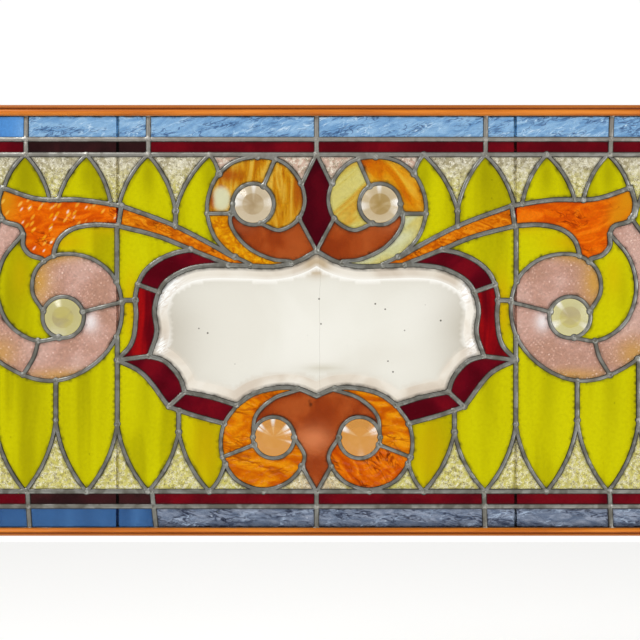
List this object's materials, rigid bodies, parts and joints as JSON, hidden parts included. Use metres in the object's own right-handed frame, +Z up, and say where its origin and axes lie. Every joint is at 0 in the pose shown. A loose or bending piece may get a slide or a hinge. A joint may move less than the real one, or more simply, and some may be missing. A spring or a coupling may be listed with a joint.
{
  "type": "stained glass window",
  "caption": "Leaded stained glass window panel with a bevelled plate cartouche, scrolls, round jewels and petals inside a double border, in a thin wooden frame.",
  "frame": {"origin": "middle of the flat underside of the bottom rail, where the window stands in its opening", "axes": "+X to the right and +Z up as seen from the front, -Y out of the front face"},
  "size_m": [1.09, 0.022, 0.545],
  "materials": {
    "lead": "dull grey lead with silvery solder at the joints",
    "frame_wood": "orange-brown varnished, satin",
    "bar_steel": "dark, dull",
    "bevel_glass": "clear, polished, with ground and polished bevels",
    "blue_glass": "rippled, glossy",
    "red_glass": "smooth, glossy",
    "ruby_glass": "smooth, glossy",
    "clear_textured_glass": "finely hammered, sparkling",
    "yellow_glass": "hammered cathedral glass, glossy",
    "orange_glass": "rippled, glossy",
    "opal_glass": "opalescent, streaked",
    "copper_glass": "opalescent, copper brown",
    "pink_glass": "opalescent, granite textured"
  },
  "bodies": {
    "root": {"lead_came_net": "lead", "frame_top_rail": "frame_wood", "frame_bottom_rail": "frame_wood", "frame_left_stile": "frame_wood", "frame_right_stile": "frame_wood", "support_bar_left": "bar_steel", "support_bar_right": "bar_steel", "centre_bevel_plate": "bevel_glass", "top_jewel_left": "bevel_glass", "top_jewel_right": "bevel_glass", "side_jewel_left": "bevel_glass", "side_jewel_right": "bevel_glass", "bottom_jewel_left": "bevel_glass", "bottom_jewel_right": "bevel_glass", "blue_border_glass": "blue_glass", "red_border_glass": "red_glass", "ruby_diamond": "ruby_glass", "ruby_top_pane_left": "ruby_glass", "ruby_top_pane_right": "ruby_glass", "ruby_side_pane_left": "ruby_glass", "ruby_side_pane_right": "ruby_glass", "ruby_shoulder_pane_left": "ruby_glass", "ruby_shoulder_pane_right": "ruby_glass", "ruby_foot_pane_left": "ruby_glass", "ruby_foot_pane_right": "ruby_glass", "clear_panes_above": "clear_textured_glass", "clear_panes_below": "clear_textured_glass", "yellow_petals_above_left": "yellow_glass", "yellow_petals_above_right": "yellow_glass", "yellow_petals_below_left": "yellow_glass", "yellow_petals_below_right": "yellow_glass", "yellow_behind_leaf_left": "yellow_glass", "yellow_behind_leaf_right": "yellow_glass", "yellow_crescent_left": "yellow_glass", "yellow_crescent_right": "yellow_glass", "acanthus_leaf_left": "orange_glass", "acanthus_leaf_right": "orange_glass", "leaf_stem_left": "orange_glass", "leaf_stem_right": "orange_glass", "bottom_scroll_upper_crescent_left": "orange_glass", "bottom_scroll_upper_crescent_right": "orange_glass", "bottom_scroll_lower_crescent_left": "orange_glass", "bottom_scroll_lower_crescent_right": "orange_glass", "top_scroll_inner_crescent_left": "opal_glass", "top_scroll_inner_crescent_right": "opal_glass", "top_scroll_outer_crescent_left": "opal_glass", "top_scroll_outer_crescent_right": "opal_glass", "top_scroll_lower_crescent_left": "opal_glass", "top_scroll_lower_crescent_right": "opal_glass", "copper_heart": "copper_glass", "top_scroll_copper_pane_left": "copper_glass", "top_scroll_copper_pane_right": "copper_glass", "side_scroll_inner_pane_left": "pink_glass", "side_scroll_inner_pane_right": "pink_glass", "side_scroll_lower_pane_left": "pink_glass", "side_scroll_lower_pane_right": "pink_glass", "side_scroll_outer_pane_left": "pink_glass", "side_scroll_outer_pane_right": "pink_glass"}
  },
  "joints": []
}
